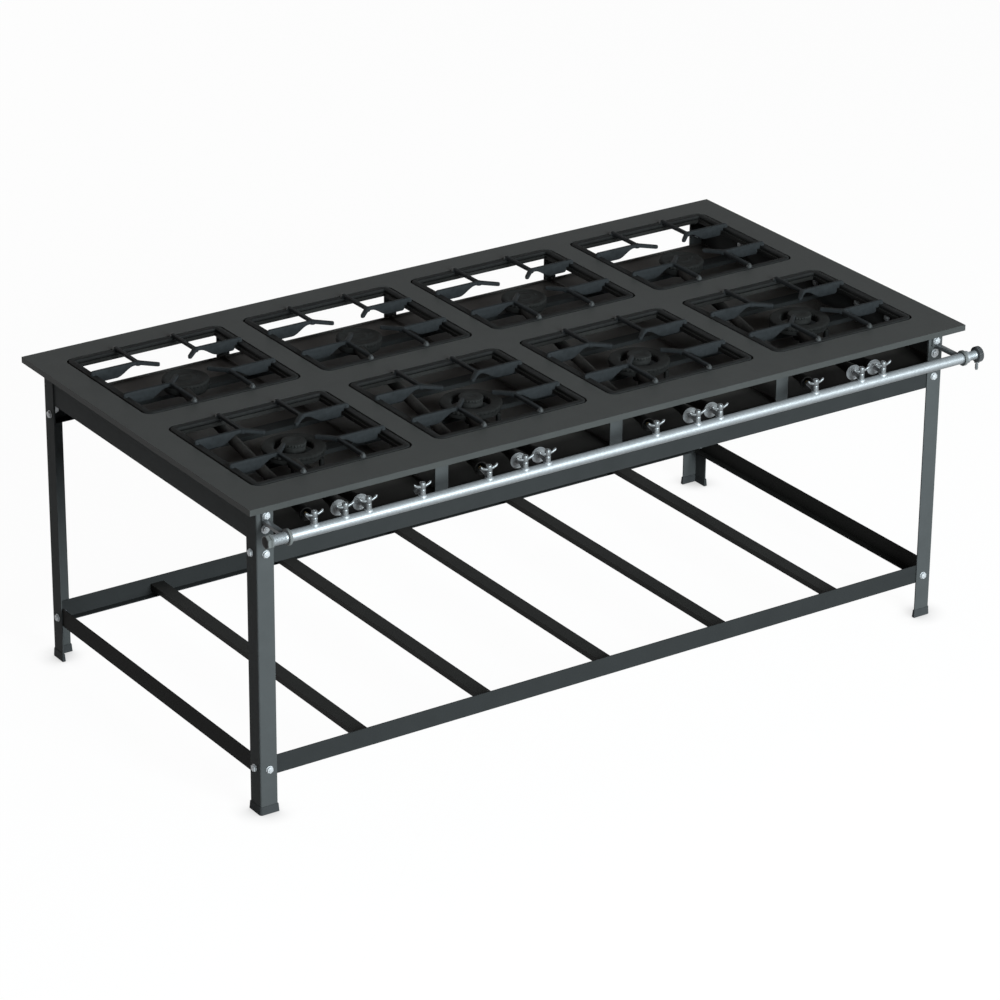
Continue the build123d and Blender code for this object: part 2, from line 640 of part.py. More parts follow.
def pipe_bracket():
    """The left bracket: a tab on the leg, a narrower strap forwards and a collar round the pipe."""
    x = -CLAMP_X
    low = PIPE_Z - STRAP_T / 2
    tab = block(FRONT_BOLT_X - TAB_W / 2, FRONT_BOLT_X + TAB_W / 2, -LEG_Y - STRAP_T, -LEG_Y, low, low + TAB_H)
    strap = block(x - STRAP_W / 2, x + STRAP_W / 2, PIPE_Y + COLLAR_R - STRAP_BITE, -LEG_Y, low, low + STRAP_T)
    collar = prism((x - COLLAR_W / 2, PIPE_Y, PIPE_Z), (x + COLLAR_W / 2, PIPE_Y, PIPE_Z), COLLAR_R, COLLAR_FLATS)
    bore_r = (PIPE_R + RUNNING_GAP) / math.cos(math.pi / COLLAR_FLATS)
    bore = prism((x - COLLAR_W, PIPE_Y, PIPE_Z), (x + COLLAR_W, PIPE_Y, PIPE_Z), bore_r, COLLAR_FLATS)
    side = BOLT_SQUARE + 2 * FIXING_GAP
    hole = Pos(FRONT_BOLT_X, -LEG_Y, BRACKET_BOLT_Z) * Box(side, 3 * STRAP_T, side)
    return tab + strap + collar - bore - hole


def pipe_hexagon(x0, x1, across_flats):
    """A hexagonal fitting on the pipe's axis."""
    return Pos(x0, PIPE_Y, PIPE_Z) * Rot(0, 90, 0) * hexagon(across_flats, x1 - x0)


def inlet_nipple():
    """A nipple from the pipe's right end to the inlet fitting, with a thicker step beside the collar."""
    start = LEG_X - NIPPLE_START
    step = LEG_X - NIPPLE_STEP_START
    core = prism((start, PIPE_Y, PIPE_Z), (LEG_X + INLET_START, PIPE_Y, PIPE_Z), NIPPLE_R, NIPPLE_FLATS)
    return core + prism((step, PIPE_Y, PIPE_Z), (step + NIPPLE_STEP_W, PIPE_Y, PIPE_Z), NIPPLE_STEP_R, NIPPLE_FLATS)


def inlet_fitting():
    """A round end fitting with a hose nozzle pointing down from a shoulder."""
    x0 = LEG_X + INLET_START
    x1 = LEG_X + INLET_REACH
    axis = Pos((x0 + x1) / 2, PIPE_Y, PIPE_Z)
    seat = -INLET_R - SHOULDER_H
    tip = seat - HOSE_LENGTH
    body = prism((x0, PIPE_Y, PIPE_Z), (x1, PIPE_Y, PIPE_Z), INLET_R, INLET_FLATS)
    shoulder = axis * prism((0, 0, 0), (0, 0, seat), SHOULDER_R, SHOULDER_FLATS)
    nozzle = axis * rod((0, 0, 0), (0, 0, tip), HOSE_R)
    bore = axis * prism((0, 0, seat), (0, 0, tip), HOSE_BORE_R, HOSE_BORE_FLATS)
    return body + shoulder + nozzle - bore


def write(name, shapes):
    """Write one node: a single solid, or a group of separate ones."""
    if not isinstance(shapes, list):
        shapes = [shapes]
    solids = [s for shape in shapes for s in (ORIGIN * shape).solids()]
    export_step(solids[0] if len(solids) == 1 else Compound(children=solids), f"parts/{name}.step")


os.makedirs("parts", exist_ok=True)
valves = valve_places()
burners = [v for v in valves if v[1]]
spare = [v for v in valves if not v[1]][0]
front_fed = [v for v in burners if v[2] != "rear"]

write("top_plate", top_plate())
write("grate_seats", [Pos(x, y, 0) * grate_seat() for x in COLUMN_X for y in (FRONT_ROW, BACK_ROW)])
one_grate = grate()
for i, x in enumerate(COLUMN_X):
    write(f"grate_front_{i + 1}", Pos(x, FRONT_ROW, 0) * one_grate)
    write(f"grate_back_{i + 1}", Pos(x, BACK_ROW, 0) * one_grate)

corner_names = ("front_left", "back_left", "front_right", "back_right")
for name, shape in zip(corner_names, corners(leg())):
    write(f"leg_{name}", shape)
write("foot_shoes", corners(foot_shoe()))
write("side_panel_left", side_panel())
write("side_panel_right", mirror(side_panel(), about=Plane.YZ))
write("upper_rail_front", upper_rail())
write("upper_rail_back", mirror(upper_rail(), about=Plane.XZ))
write("posts", posts())
write("drip_trays", [drip_tray(x) for x in COLUMN_X])
write("shelf_rail_left", shelf_side_rail())
write("shelf_rail_right", mirror(shelf_side_rail(), about=Plane.YZ))
write("shelf_rail_front", shelf_front_rail())
write("shelf_rail_back", mirror(shelf_front_rail(), about=Plane.XZ))
bar_places = [(i - (CROSSBARS - 1) / 2) * CROSSBAR_PITCH for i in range(CROSSBARS)]
write("shelf_crossbars", [shelf_crossbar(x) for x in bar_places])
fixings = [copy for fixing in corner_fixings() for copy in corners(fixing)]
fixings += both_ends(bracket_fixing() + [bar_stud(y) for y in BAR_Y])
write("bolts_and_nuts", fixings)

write("burner_bars", [burner_bar(y) for y in BAR_Y])
write("ring_burners", [ring_burner(x, t, COLUMN_X[i] + FRONT_BURNER_SHIFT)
                       for x, t, kind, i in burners if kind == "ring"])
write("centre_burners", [centre_burner(x, t) for x, t, kind, i in burners if kind == "centre"])
write("rear_burners", [rear_burner(x, t, COLUMN_X[i] + REAR_BURNER_SHIFT)
                       for x, t, kind, i in burners if kind == "rear"])

write("manifold_pipe", manifold_pipe())
write("pipe_brackets", [pipe_bracket(), mirror(pipe_bracket(), about=Plane.YZ)])
write("lock_ring", pipe_hexagon(-LEG_X - CAP_START, -LEG_X - LOCK_RING_START, LOCK_RING_AF))
write("end_cap", pipe_hexagon(-LEG_X - CAP_REACH, -LEG_X - CAP_START, CAP_AF))
write("inlet_nipple", inlet_nipple())
write("inlet_fitting", inlet_fitting())
blank_plug = outlet_frame(spare[0], None, SPARE_HORN_LENGTH) * hexagon(PLUG_AF, JET_LENGTH)
write("valve_bodies", [valve_body(x, t) for x, t, kind, i in valves] + [blank_plug])
write("jets", [jet(x, t) for x, t, kind, i in burners])
for n, (x, t, kind, i) in enumerate(valves):
    write(f"valve_handle_{n + 1}", valve_handle(x))
for x, t, kind, i in front_fed:
    write(f"air_shutter_{kind}_{i + 1}", air_shutter(x, t))
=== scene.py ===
import json
import math

import bmesh
import bpy
from mathutils import Matrix, Vector


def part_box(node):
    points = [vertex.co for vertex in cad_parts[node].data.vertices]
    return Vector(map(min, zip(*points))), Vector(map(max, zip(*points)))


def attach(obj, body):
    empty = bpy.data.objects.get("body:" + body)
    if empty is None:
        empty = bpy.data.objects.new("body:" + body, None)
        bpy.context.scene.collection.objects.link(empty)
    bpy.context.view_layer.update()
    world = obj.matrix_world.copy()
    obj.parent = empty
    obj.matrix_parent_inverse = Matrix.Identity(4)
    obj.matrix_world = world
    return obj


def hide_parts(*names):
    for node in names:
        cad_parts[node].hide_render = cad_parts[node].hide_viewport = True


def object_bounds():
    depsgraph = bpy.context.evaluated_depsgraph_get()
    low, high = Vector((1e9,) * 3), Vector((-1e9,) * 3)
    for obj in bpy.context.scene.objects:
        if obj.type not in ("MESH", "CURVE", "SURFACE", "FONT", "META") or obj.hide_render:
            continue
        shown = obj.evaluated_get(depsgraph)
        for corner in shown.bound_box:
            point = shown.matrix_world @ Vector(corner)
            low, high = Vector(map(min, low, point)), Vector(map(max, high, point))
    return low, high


# An industrial gas stove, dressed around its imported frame. Metres, +X along the front, +Y to the back, +Z up.
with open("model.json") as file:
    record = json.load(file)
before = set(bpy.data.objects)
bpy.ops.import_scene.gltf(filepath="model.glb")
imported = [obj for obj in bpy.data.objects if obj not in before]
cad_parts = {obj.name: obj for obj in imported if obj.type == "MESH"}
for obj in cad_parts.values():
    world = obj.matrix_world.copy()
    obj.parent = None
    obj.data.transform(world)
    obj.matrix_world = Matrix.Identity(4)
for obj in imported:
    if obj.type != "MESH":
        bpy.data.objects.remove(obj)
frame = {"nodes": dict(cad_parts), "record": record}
cad_low, cad_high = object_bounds()
nodes = frame["nodes"]
MM = 0.001

# Camera: place, direction and lens of the photograph's view
CAMERA_PLACE = (-5.3218, -7.82645, 4.6324)
CAMERA_AZIMUTH = -34.1092
CAMERA_ELEVATION = 24.1584
CAMERA_ROLL = 0.5036
CAMERA_LENS = 150.165
CAMERA_SENSOR = 36.0
CAMERA_REACH = 200.0

# Light: soft fill, what the floor shows and throws back, the shade at the feet, and the dim ceiling in reflections
WORLD_FILL = 0.14
WORLD_TINT = (1.0, 0.95, 0.92)
FLOOR_HALF = 60.0
FLOOR_SHADE = 0.04
FLOOR_BOUNCE = 0.25
CONTACT_REACH, CONTACT_SHADE = 0.06, 0.4
HORIZON_TOP = 0.14
CEILING_START = 0.5
CEILING = (0.22, 0.225, 0.23, 1)

# Lamps: place from the middle of the stove, size, watts and colour
LAMPS = {"key": ((0.2, -7.3, 2.4), 3.2, 1140, (0.87, 0.97, 1.0)),
         "side": ((5.4, -6.0, 2.2), 2.0, 120, (0.92, 0.97, 1.0)),
         "back_fill": ((-2.5, 8.0, 3.2), 4.0, 220, (1.0, 0.98, 0.95))}

# Fades of a colour that paint light and shade onto it: coordinates, axis, range, and (place, share) stops
# Painted light and shade on the drip trays: dark under the front windows, full under the openings, a little darker at
# the back
TRAY_PAINTED_LIGHT_AND_SHADE = ("Object", "Y", -0.6, 0.6, ((-0.36, 0.25), (-0.27, 1.0), (0.06, 1.0), (0.28, 0.72)))
# Painted light and shade on the mixing tubes: dark under the front windows, full under the openings, a little darker
# at the back
TUBE_PAINTED_LIGHT_AND_SHADE = ("Object", "Y", -0.6, 0.6, ((-0.36, 0.36), (-0.27, 1.0), (0.06, 1.0), (0.28, 0.8)))
# Painted shade on the silver paint: darker where the surface faces down
PAINTED_SHADE_BELOW = ("Normal", "Z", -1.0, 1.0, ((-0.65, 0.46), (0.40, 1.0)))

# Every finish: the noise between its two tones, how far the grain moves the gloss, and how softly an edge shades
MOTTLE_RANGE = (0.3, 0.7)
GLOSS_SPREAD, EDGE_SOFT = 0.08, 0.0008
# Castings: coarser and more uneven than sheet and paint
CAST = {"mottle": 0.2, "mottle_size": 0.012, "grain_size": 0.0022, "grain_depth": 0.00012}
# A colour Mix node's sockets, whose names it uses more than once
MIX_A, MIX_B, MIX_RESULT = 6, 7, 2


def node_in(tree, kind, x=0, y=0, **values):
    """A new shader node with some of its properties and sockets set."""
    node = tree.nodes.new(kind)
    node.location = (x, y)
    for key, value in values.items():
        if hasattr(node, key):
            setattr(node, key, value)
        else:
            node.inputs[key.replace("_", " ")].default_value = value
    return node


def tone(colour, factor):
    """A colour made lighter or darker, with full alpha."""
    return tuple(min(c * factor, 1.0) for c in colour) + (1.0,)


def surface(name, colour, roughness, metallic=0.0, specular=0.5, mottle=0.1, mottle_size=0.06,
            grain_size=0.0015, grain_depth=0.00003, fade=None):
    """A procedural finish: slow colour change, fine grain in bump and gloss, softened edges, and a fade.

    A fade is (coordinates, axis, low, high, stops): shares of the colour by place or by facing, which paint light and
    shade.
    """
    made = bpy.data.materials.new(name)
    made.use_nodes = True
    tree = made.node_tree
    shader = tree.nodes["Principled BSDF"]
    shader.inputs["Metallic"].default_value = metallic
    shader.inputs["Specular IOR Level"].default_value = specular
    place = node_in(tree, "ShaderNodeTexCoord", -1200)
    broad = node_in(tree, "ShaderNodeTexNoise", -900, 200, Scale=1 / mottle_size, Detail=5.0, Roughness=0.6)
    ramp = node_in(tree, "ShaderNodeValToRGB", -600, 200)
    for stop, at, share in zip(ramp.color_ramp.elements, MOTTLE_RANGE, (1 - mottle, 1 + mottle)):
        stop.position, stop.color = at, tone(colour, share)
    fine = node_in(tree, "ShaderNodeTexNoise", -900, -150, Scale=1 / grain_size, Detail=3.0)
    gloss = node_in(tree, "ShaderNodeMapRange", -600, -100,
                    To_Min=roughness - GLOSS_SPREAD, To_Max=roughness + GLOSS_SPREAD)
    soft = node_in(tree, "ShaderNodeBevel", -600, -450, samples=4, Radius=EDGE_SOFT)
    bump = node_in(tree, "ShaderNodeBump", -300, -300, Strength=1.0, Distance=grain_depth)
    link = tree.links.new
    link(place.outputs["Object"], broad.inputs["Vector"])
    link(place.outputs["Object"], fine.inputs["Vector"])
    link(broad.outputs["Fac"], ramp.inputs["Fac"])
    link(ramp.outputs["Color"], shader.inputs["Base Color"])
    if fade:
        space, axis, start, end, stops = fade
        split = node_in(tree, "ShaderNodeSeparateXYZ", -900, 700)
        depth = node_in(tree, "ShaderNodeMapRange", -700, 700, From_Min=start, From_Max=end)
        painted_light_ramp = node_in(tree, "ShaderNodeValToRGB", -500, 700)
        while len(painted_light_ramp.color_ramp.elements) < len(stops):
            painted_light_ramp.color_ramp.elements.new(0.5)
        for stop, (at, share) in zip(painted_light_ramp.color_ramp.elements, stops):
            stop.position = (at - start) / (end - start)
            stop.color = (share, share, share, 1)
        faded = node_in(tree, "ShaderNodeMix", -250, 400, data_type="RGBA", blend_type="MULTIPLY", Factor=1.0)
        link(place.outputs[space], split.inputs["Vector"])
        link(split.outputs[axis], depth.inputs["Value"])
        link(depth.outputs["Result"], painted_light_ramp.inputs["Fac"])
        link(ramp.outputs["Color"], faded.inputs[MIX_A])
        link(painted_light_ramp.outputs["Color"], faded.inputs[MIX_B])
        link(faded.outputs[MIX_RESULT], shader.inputs["Base Color"])
    link(fine.outputs["Fac"], gloss.inputs["Value"])
    link(gloss.outputs["Result"], shader.inputs["Roughness"])
    link(fine.outputs["Fac"], bump.inputs["Height"])
    link(soft.outputs["Normal"], bump.inputs["Normal"])
    link(bump.outputs["Normal"], shader.inputs["Normal"])
    return made


FINISHES = {
    "frame_paint": surface("frame_paint", (0.054, 0.0575, 0.0585), 0.5, specular=0.02, mottle=0.05),
    "plate_paint": surface("plate_paint", (0.042, 0.044, 0.043), 0.46, specular=0.08, mottle=0.05),
    "rail_paint": surface("rail_paint", (0.023, 0.0245, 0.025), 0.5, specular=0.02, mottle=0.05),
    "black_sheet": surface("black_sheet", (0.018, 0.0180, 0.0172), 0.5, specular=0.04),
    # A lighter tray sheet, so that its fade paints light under the openings and shade at the front
    "tray_sheet": surface("tray_sheet", (0.084, 0.0795, 0.0755), 0.5, specular=0.04, fade=TRAY_PAINTED_LIGHT_AND_SHADE),
    "post_paint": surface("post_paint", (0.047, 0.050, 0.051), 0.5, specular=0.02, mottle=0.05),
    # A darker copy of the rail paint for the shelf's side rails: painted shade
    "side_rail_painted_shade": surface("side_rail_painted_shade", (0.0115, 0.0116, 0.0110), 0.5, specular=0.02, mottle=0.05),
    "strap_zinc": surface("strap_zinc", (0.105, 0.113, 0.118), 0.4, specular=0.5, mottle=0.08, mottle_size=0.01),
    "shoe_plastic": surface("shoe_plastic", (0.038, 0.0405, 0.042), 0.55, specular=0.03),
    "cast_grate": surface("cast_grate", (0.0175, 0.0195, 0.0210), 0.55, specular=0.03, **CAST),
    # A darker copy of the grate's iron on the frame: painted shade
    "cast_frame_painted_shade": surface("cast_frame_painted_shade", (0.0155, 0.0160, 0.0160), 0.6, specular=0.03, **CAST),
    # A lighter, glossier copy of the grate's iron on the noses: painted highlight
    "cast_nose_painted_highlight": surface("cast_nose_painted_highlight", (0.034, 0.0360, 0.0370), 0.5, specular=0.16, **CAST),
    "cast_burner": surface("cast_burner", (0.020, 0.0205, 0.020), 0.6, specular=0.03, **CAST),
    # A lighter copy of the burners' iron for the tubes, faded by place: painted light under the openings, painted
    # shade at the front
    "cast_tube": surface("cast_tube", (0.031, 0.0300, 0.0290), 0.6, specular=0.02, **CAST, fade=TUBE_PAINTED_LIGHT_AND_SHADE),
    # Silver paint with painted shade on its underside
    "silver_paint": surface("silver_paint", (0.300, 0.319, 0.334), 0.48, metallic=0.6,
                            mottle=0.14, mottle_size=0.006, fade=PAINTED_SHADE_BELOW),
    "plated_valve": surface("plated_valve", (0.160, 0.170, 0.176), 0.42, metallic=0.8, mottle=0.06, mottle_size=0.01),
    "zinc_steel": surface("zinc_steel", (0.400, 0.415, 0.430), 0.5, metallic=0.5, mottle=0.08, mottle_size=0.008),
    "pressed_disc": surface("pressed_disc", (0.165, 0.172, 0.178), 0.38, specular=0.8, mottle=0.08, mottle_size=0.008),
    "cap_iron": surface("cap_iron", (0.030, 0.0285, 0.0280), 0.5, specular=0.04, mottle=0.1, mottle_size=0.01),
    "grey_iron": surface("grey_iron", (0.100, 0.105, 0.104), 0.5, specular=0.2, mottle=0.1, mottle_size=0.01),
    "dark_fitting": surface("dark_fitting", (0.035, 0.037, 0.039), 0.42, specular=0.2, mottle=0.1, mottle_size=0.01),
    "brass_jet": surface("brass_jet", (0.26, 0.20, 0.10), 0.4, metallic=0.6, mottle=0.1, mottle_size=0.004),
}


def dress(obj, finish):
    """Give an object one finish in every slot."""
    obj.data.materials.clear()
    obj.data.materials.append(FINISHES[finish])


# Nodes whose finish differs from their slot's. The trays' finish carries painted light and shade, and the shelf's side
# rails get a darker copy of the rail paint as painted shade
OWN_FINISH = {"drip_trays": "tray_sheet", "posts": "post_paint",
              "shelf_rail_left": "side_rail_painted_shade", "shelf_rail_right": "side_rail_painted_shade"}
for part in frame["record"]["subparts"]:
    dress(nodes[part["node"]], OWN_FINISH.get(part["node"], part["material_slot"]))


# Shapes are drawn in millimetres about the centre of the top plate
COLUMN_X = (-741, -247, 247, 741)
FRONT_ROW, BACK_ROW = -232, 262
PIPE_Y, PIPE_Z, PIPE_R = -604, 746, 13.5
OUTLET_Z = 763.5
VALVE_TOP = 778
BURNER_TOP = 777
FRONT_SHIFT, REAR_SHIFT = 10, 5
BAR_TOP = 722
BAR_PLACES = (-293, -171, 0, 160, 323)
MOUTH_PLACE = 49
SHUTTER_PLACE = 40
SPARE_X = -615
LEG_X, LEG_Y, LEG_ARM, LEG_T, LEG_BEND = 994.5, 502, 45, 3, 4
# Each kind of burner: its valves' offsets in a column, where its tube enters, and how far below the burner's top
FEEDS = {"rear": ((-162, -186, -206.5, -227.5), (REAR_SHIFT - 20, BACK_ROW - 10), 17),
         "ring": ((-81, -86, -86, -87), (FRONT_SHIFT - 34, FRONT_ROW - 48), 14),
         "centre": ((-19, -23, -20.5, -20), (FRONT_SHIFT, FRONT_ROW), 45)}
SLAB_BENDS = 3
LEAST_STRETCH = 0.4
UP = Vector((0, 0, 1))
plate_low, plate_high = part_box("top_plate")
SHIFT = Vector(((plate_low.x + plate_high.x) / 2, (plate_low.y + plate_high.y) / 2, 0))


def along(start, way, side=None):
    """A place whose Z points along way, and whose X lies nearest to side."""
    z = Vector(way).normalized()
    side = Vector(side) if side else (UP if abs(z.z) < 0.9 else Vector((1, 0, 0)))
    x = (side - z * side.dot(z)).normalized()
    turned = Matrix((x, z.cross(x), z)).transposed().to_4x4()
    return Matrix.Translation(start) @ turned


def bridge(bm, a, b, finish):
    """Faces between two rows of points. A row of one point closes to a tip."""
    count = max(len(a), len(b))
    for k in range(count):
        n = k + 1
        loop = (a[k % len(a)], a[n % count % len(a)], b[n % count % len(b)], b[k % len(b)])
        bm.faces.new(dict.fromkeys(loop)).material_index = finish


def loft(bm, loops, finish=0, ring=False):
    """A skin over loops of points, closed by end faces or, as a ring, by its own start."""
    rows = [[bm.verts.new(p) for p in loop] for loop in loops]
    for a, b in zip(rows, rows[1:]):
        bridge(bm, a, b, finish)
    if ring:
        bridge(bm, rows[-1], rows[0], finish)
        return
    for row in (rows[0], rows[-1]):
        if len(row) > 2:
            bm.faces.new(row).material_index = finish


def lathe(bm, profile, place=Matrix(), steps=32, ring=False, finish=0, cut=()):
    """Turn (radius, height) points about Z.

    cut holds (points, every, depth): on those points' circles, each such step is set in by the depth.
    """
    loops = []
    for j, (radius, height) in enumerate(profile):
        if radius == 0:
            loops.append([place @ Vector((0, 0, height))])
            continue
        loop = []
        for k in range(steps):
            angle = 2 * math.pi * k / steps
            r = radius - sum(d for points, every, d in cut if j in points and k % every == 0)
            loop.append(place @ Vector((r * math.cos(angle), r * math.sin(angle), height)))
        loops.append(loop)
    loft(bm, loops, finish, ring)


def inset(outline, by):
    """An outline, counter-clockwise, moved inwards."""
    moved = []
    for k, here in enumerate(outline):
        before, after = Vector(outline[k - 1]), Vector(outline[(k + 1) % len(outline)])
        a, b = (Vector(here) - before).normalized(), (after - Vector(here)).normalized()
        normal = Vector((-a.y - b.y, a.x + b.x))
        normal.normalize()
        stretch = max(normal.dot(Vector((-a.y, a.x))), LEAST_STRETCH)
        moved.append(Vector(here) + normal * (by / stretch))
    return moved


def quarter(steps):
    """Angles from nought to a right angle."""
    return [math.pi / 2 * k / steps for k in range(steps + 1)]


def slab(bm, outline, low, high, soft, place=Matrix(), finish=0):
    """A flat piece of an outline, with its top and bottom edges rounded."""
    curve = [(soft * (1 - math.sin(a)), soft * (1 - math.cos(a))) for a in quarter(SLAB_BENDS)]
    rows = [(d, low + h) for d, h in curve] + [(d, high - h) for d, h in reversed(curve)]
    loft(bm, [[place @ Vector((p.x, p.y, z)) for p in inset(outline, d)] for d, z in rows], finish)


def rounded(w, d, r, steps=4, x=0, y=0):
    """A rectangle with rounded corners."""
    points = []
    for k, (i, j) in enumerate(((1, 1), (-1, 1), (-1, -1), (1, -1))):
        for s in range(steps + 1):
            a = math.pi / 2 * (k + s / steps)
            points.append(Vector((x + i * (w / 2 - r) + r * math.cos(a),
                                  y + j * (d / 2 - r) + r * math.sin(a))))
    return points


def hexagon(across_flats):
    """A regular hexagon about the origin."""
    r = across_flats / math.sqrt(3)
    return [Vector((r * math.cos(math.pi / 3 * k), r * math.sin(math.pi / 3 * k))) for k in range(6)]


def to_mesh(name, bm, shift=SHIFT):
    """A finished mesh in metres."""
    bmesh.ops.recalc_face_normals(bm, faces=bm.faces)
    bm.transform(Matrix.Translation(shift) @ Matrix.Scale(MM, 4))
    data = bpy.data.meshes.new(name)
    bm.to_mesh(data)
    bm.free()
    return data


def piece(name, data, finishes, body, stands_for, place=Matrix(), angle=38):
    """Put a mesh in the scene, on its body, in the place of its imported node."""
    if not data.materials:
        for finish in finishes:
            data.materials.append(FINISHES[finish])
        data.shade_smooth()
        data.set_sharp_from_angle(angle=math.radians(angle))
    made = bpy.data.objects.new(name, data)
    made.matrix_world = place
    bpy.context.scene.collection.objects.link(made)
    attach(made, body)
    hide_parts(stands_for)


def fixed(name, bm, finishes, stands_for):
    """A piece of the standing stove, drawn in its place."""
    piece(name, to_mesh(name, bm), finishes, "stove", stands_for)


def spot(x, y, turn=0.0):
    """Where an object drawn about its own centre goes on the stove."""
    return Matrix.Translation(SHIFT + Vector((x * MM, y * MM, 0))) @ Matrix.Rotation(turn, 4, "Z")


def feeds(kind):
    """For each column: its x, the valve's place, the level way of its outlet, and the tube's mouth and entry."""
    offsets, target, drop = FEEDS[kind]
    for column, offset in zip(COLUMN_X, offsets):
        valve = Vector((column + offset, PIPE_Y, OUTLET_Z))
        way = Vector((column + target[0], target[1], OUTLET_Z)) - valve
        way.normalize()
        entry = Vector((column + target[0], target[1], BURNER_TOP - drop))
        yield column, valve, way, valve + way * MOUTH_PLACE, entry


# Cast grates: outline, heights, fins and their curves, and how far the noses' painted highlight reaches in
GRATE_W, GRATE_D, GRATE_R, GRATE_BAR = 424, 399, 20, 16
GRATE_Z, FRAME_TOP, FIN_TOP, FIN_BOTTOM = 793, 801, 811, 780
FIN_OFFSET, FIN_T = 80, 8
FIN_THIN, SLIM = 10, 11
FIN_INSET, FIN_NOTCH = 1.5, 189
NOSE_R, HEEL_R = 8, 7
SWING_START, SWING_LENGTH, SWING_STEPS = 140, 48, 12
SLIM_FOOT, SLIM_STEP = 13, 17
FINGER_END = 41
HIGHLIGHT_REACH = 10


def fin_nose(outer):
    """A fin's rounded outer end, from the top down."""
    return [(outer - NOSE_R + NOSE_R * math.sin(a), FIN_TOP - NOSE_R + NOSE_R * math.cos(a)) for a in quarter(5)]


def fin_outline(outer, notch):
    """A fin from the side: rounded nose at the frame, a deep belly, and an S-curve up to the thin inner arm."""
    heel = [(notch - HEEL_R + HEEL_R * math.cos(a), FIN_BOTTOM + HEEL_R - HEEL_R * math.sin(a)) for a in quarter(4)]
    rise = FIN_TOP - FIN_THIN - FIN_BOTTOM
    swing = []
    for k in range(SWING_STEPS + 1):
        t = k / SWING_STEPS
        swing.append((SWING_START - SWING_LENGTH * t, FIN_BOTTOM + rise * t * t * (3 - 2 * t)))
    points = fin_nose(outer) + [(outer, GRATE_Z), (notch, GRATE_Z)] + heel + swing
    points += [(FIN_OFFSET, FIN_TOP - FIN_THIN), (FIN_OFFSET, FIN_TOP)]
    return [Vector(p) for p in reversed(points)]


def slim_outline(outer):
    """A shallow fin from the side, of one depth from the frame to its inner end."""
    foot = GRATE_Z + 1
    points = fin_nose(outer) + [(outer, foot), (outer - SLIM_FOOT, foot), (outer - SLIM_STEP, FIN_TOP - SLIM)]
    points += [(FIN_OFFSET, FIN_TOP - FIN_THIN), (FIN_OFFSET, FIN_TOP)]
    return [Vector(p) for p in reversed(points)]


